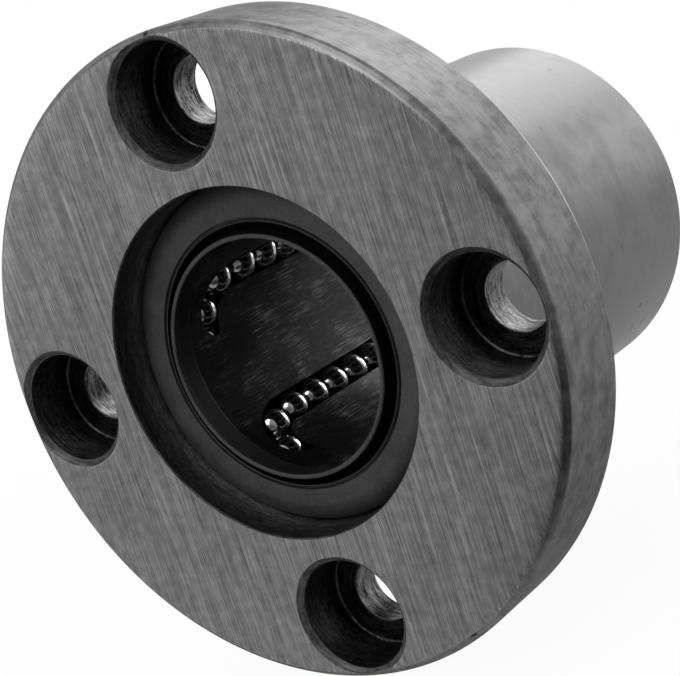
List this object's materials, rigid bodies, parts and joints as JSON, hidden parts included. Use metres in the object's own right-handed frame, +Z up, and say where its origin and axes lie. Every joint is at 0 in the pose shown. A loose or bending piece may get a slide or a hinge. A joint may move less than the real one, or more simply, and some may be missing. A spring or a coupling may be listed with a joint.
{
  "type": "flanged linear bearing",
  "caption": "Linear ball bearing for a round shaft, with a round flange in one piece with its ground sleeve, counterbored screw holes, rubber end seals and caged recirculating balls.",
  "frame": {"origin": "middle of the bore in the plane of the flange's seating face, where the bolt circle is centred", "axes": "+Y along the bore towards the free end of the body, so the counterbored front of the flange looks along -Y; +Z up through one screw hole; +X through the next screw hole"},
  "size_m": [0.054, 0.045, 0.054],
  "materials": {
    "bearing_steel": "hardened bearing steel, ground and lightly oiled",
    "black_resin": "moulded engineering resin, smooth and slightly scuffed",
    "black_rubber": "moulded nitrile rubber, matt",
    "ball_steel": "polished bearing-steel balls"
  },
  "bodies": {
    "bearing": {"flanged_sleeve": "bearing_steel", "ball_retainer": "black_resin", "front_seal": "black_rubber", "rear_seal": "black_rubber"},
    "loaded_1": {"loaded_balls_1": "ball_steel"},
    "return_1": {"return_balls_1": "ball_steel"},
    "front_turn_1": {"front_turn_balls_1": "ball_steel"},
    "rear_turn_1": {"rear_turn_balls_1": "ball_steel"},
    "loaded_2": {"loaded_balls_2": "ball_steel"},
    "return_2": {"return_balls_2": "ball_steel"},
    "front_turn_2": {"front_turn_balls_2": "ball_steel"},
    "rear_turn_2": {"rear_turn_balls_2": "ball_steel"},
    "loaded_3": {"loaded_balls_3": "ball_steel"},
    "return_3": {"return_balls_3": "ball_steel"},
    "front_turn_3": {"front_turn_balls_3": "ball_steel"},
    "rear_turn_3": {"rear_turn_balls_3": "ball_steel"},
    "loaded_4": {"loaded_balls_4": "ball_steel"},
    "return_4": {"return_balls_4": "ball_steel"},
    "front_turn_4": {"front_turn_balls_4": "ball_steel"},
    "rear_turn_4": {"rear_turn_balls_4": "ball_steel"},
    "loaded_5": {"loaded_balls_5": "ball_steel"},
    "return_5": {"return_balls_5": "ball_steel"},
    "front_turn_5": {"front_turn_balls_5": "ball_steel"},
    "rear_turn_5": {"rear_turn_balls_5": "ball_steel"}
  },
  "joints": [
    {"name": "loaded_run_1", "type": "slide", "parent": "bearing", "child": "loaded_1", "axis": [0, 1, 0], "range_m": [-0.00161, 0.00161]},
    {"name": "return_run_1", "type": "slide", "parent": "bearing", "child": "return_1", "axis": [0, -1, 0], "range_m": [-0.00161, 0.00161]},
    {"name": "front_turn_1", "type": "hinge", "parent": "bearing", "child": "front_turn_1", "pos_m": [0.01119, 0.00323, 0.0032], "axis": [-0.987, -0.1045, -0.122], "range_deg": [-30, 30]},
    {"name": "rear_turn_1", "type": "hinge", "parent": "bearing", "child": "rear_turn_1", "pos_m": [0.01119, 0.02577, 0.0032], "axis": [0.987, -0.1045, 0.122], "range_deg": [-30, 30]},
    {"name": "loaded_run_2", "type": "slide", "parent": "bearing", "child": "loaded_2", "axis": [0, 1, 0], "range_m": [-0.00161, 0.00161]},
    {"name": "return_run_2", "type": "slide", "parent": "bearing", "child": "return_2", "axis": [0, -1, 0], "range_m": [-0.00161, 0.00161]},
    {"name": "front_turn_2", "type": "hinge", "parent": "bearing", "child": "front_turn_2", "pos_m": [0.00042, 0.00323, 0.01163], "axis": [-0.189, -0.1045, -0.9764], "range_deg": [-30, 30]},
    {"name": "rear_turn_2", "type": "hinge", "parent": "bearing", "child": "rear_turn_2", "pos_m": [0.00042, 0.02577, 0.01163], "axis": [0.189, -0.1045, 0.9764], "range_deg": [-30, 30]},
    {"name": "loaded_run_3", "type": "slide", "parent": "bearing", "child": "loaded_3", "axis": [0, 1, 0], "range_m": [-0.00161, 0.00161]},
    {"name": "return_run_3", "type": "slide", "parent": "bearing", "child": "return_3", "axis": [0, -1, 0], "range_m": [-0.00161, 0.00161]},
    {"name": "front_turn_3", "type": "hinge", "parent": "bearing", "child": "front_turn_3", "pos_m": [-0.01093, 0.00323, 0.00399], "axis": [0.8702, -0.1045, -0.4815], "range_deg": [-30, 30]},
    {"name": "rear_turn_3", "type": "hinge", "parent": "bearing", "child": "rear_turn_3", "pos_m": [-0.01093, 0.02577, 0.00399], "axis": [-0.8702, -0.1045, 0.4815], "range_deg": [-30, 30]},
    {"name": "loaded_run_4", "type": "slide", "parent": "bearing", "child": "loaded_4", "axis": [0, 1, 0], "range_m": [-0.00161, 0.00161]},
    {"name": "return_run_4", "type": "slide", "parent": "bearing", "child": "return_4", "axis": [0, -1, 0], "range_m": [-0.00161, 0.00161]},
    {"name": "front_turn_4", "type": "hinge", "parent": "bearing", "child": "front_turn_4", "pos_m": [-0.00718, 0.00323, -0.00916], "axis": [0.7268, -0.1045, 0.6788], "range_deg": [-30, 30]},
    {"name": "rear_turn_4", "type": "hinge", "parent": "bearing", "child": "rear_turn_4", "pos_m": [-0.00718, 0.02577, -0.00916], "axis": [-0.7268, -0.1045, -0.6788], "range_deg": [-30, 30]},
    {"name": "loaded_run_5", "type": "slide", "parent": "bearing", "child": "loaded_5", "axis": [0, 1, 0], "range_m": [-0.00161, 0.00161]},
    {"name": "return_run_5", "type": "slide", "parent": "bearing", "child": "return_5", "axis": [0, -1, 0], "range_m": [-0.00161, 0.00161]},
    {"name": "front_turn_5", "type": "hinge", "parent": "bearing", "child": "front_turn_5", "pos_m": [0.0065, 0.00323, -0.00966], "axis": [-0.421, -0.1045, 0.901], "range_deg": [-30, 30]},
    {"name": "rear_turn_5", "type": "hinge", "parent": "bearing", "child": "rear_turn_5", "pos_m": [0.0065, 0.02577, -0.00966], "axis": [0.421, -0.1045, -0.901], "range_deg": [-30, 30]}
  ],
  "couplings": [
    {"joint": "return_run_1", "follows": "loaded_run_1", "ratio": 1},
    {"joint": "front_turn_1", "follows": "loaded_run_1", "rad_per_m": -325.22},
    {"joint": "rear_turn_1", "follows": "loaded_run_1", "rad_per_m": 325.22},
    {"joint": "return_run_2", "follows": "loaded_run_2", "ratio": 1},
    {"joint": "front_turn_2", "follows": "loaded_run_2", "rad_per_m": -325.22},
    {"joint": "rear_turn_2", "follows": "loaded_run_2", "rad_per_m": 325.22},
    {"joint": "return_run_3", "follows": "loaded_run_3", "ratio": 1},
    {"joint": "front_turn_3", "follows": "loaded_run_3", "rad_per_m": -325.22},
    {"joint": "rear_turn_3", "follows": "loaded_run_3", "rad_per_m": 325.22},
    {"joint": "return_run_4", "follows": "loaded_run_4", "ratio": 1},
    {"joint": "front_turn_4", "follows": "loaded_run_4", "rad_per_m": -325.22},
    {"joint": "rear_turn_4", "follows": "loaded_run_4", "rad_per_m": 325.22},
    {"joint": "return_run_5", "follows": "loaded_run_5", "ratio": 1},
    {"joint": "front_turn_5", "follows": "loaded_run_5", "rad_per_m": -325.22},
    {"joint": "rear_turn_5", "follows": "loaded_run_5", "rad_per_m": 325.22}
  ]
}
